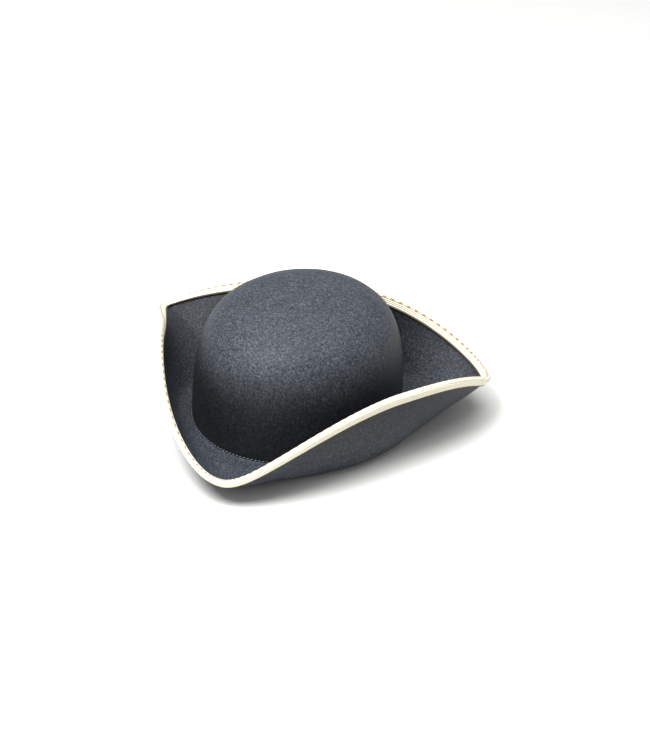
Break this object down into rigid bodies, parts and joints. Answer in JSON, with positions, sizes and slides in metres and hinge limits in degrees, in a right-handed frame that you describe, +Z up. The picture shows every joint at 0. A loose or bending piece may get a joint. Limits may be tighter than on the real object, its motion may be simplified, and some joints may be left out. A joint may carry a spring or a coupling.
{
  "type": "tricorn hat",
  "caption": "Felt pirate tricorn with a domed crown, a wired brim turned up into flaps, a pale folded edge braid and a sweatband.",
  "frame": {"origin": "centre of the head opening, on the middle of the brim's felt", "axes": "+Z up through the crown; -Y towards the front corner; +X towards the wearer's left"},
  "size_m": [0.3029, 0.3048, 0.109],
  "materials": {
    "felt": "matte needle felt, charcoal black",
    "braid": "satin woven braid, cream and pale gold",
    "wire": "plain drawn wire",
    "joiner": "plain",
    "thread_dark": "spun thread, dark grey",
    "thread_gold": "spun thread, pale gold",
    "sweatband": "matte, fine grain"
  },
  "bodies": {
    "root": {"crown": "felt", "brim": "felt", "edge_braid": "braid", "brim_wire": "wire", "wire_joiner": "joiner", "crown_stitching": "thread_dark", "sweatband": "sweatband", "sweatband_stitching": "thread_dark", "braid_stitching_inside": "thread_gold", "braid_stitching_outside": "thread_gold"}
  },
  "joints": []
}
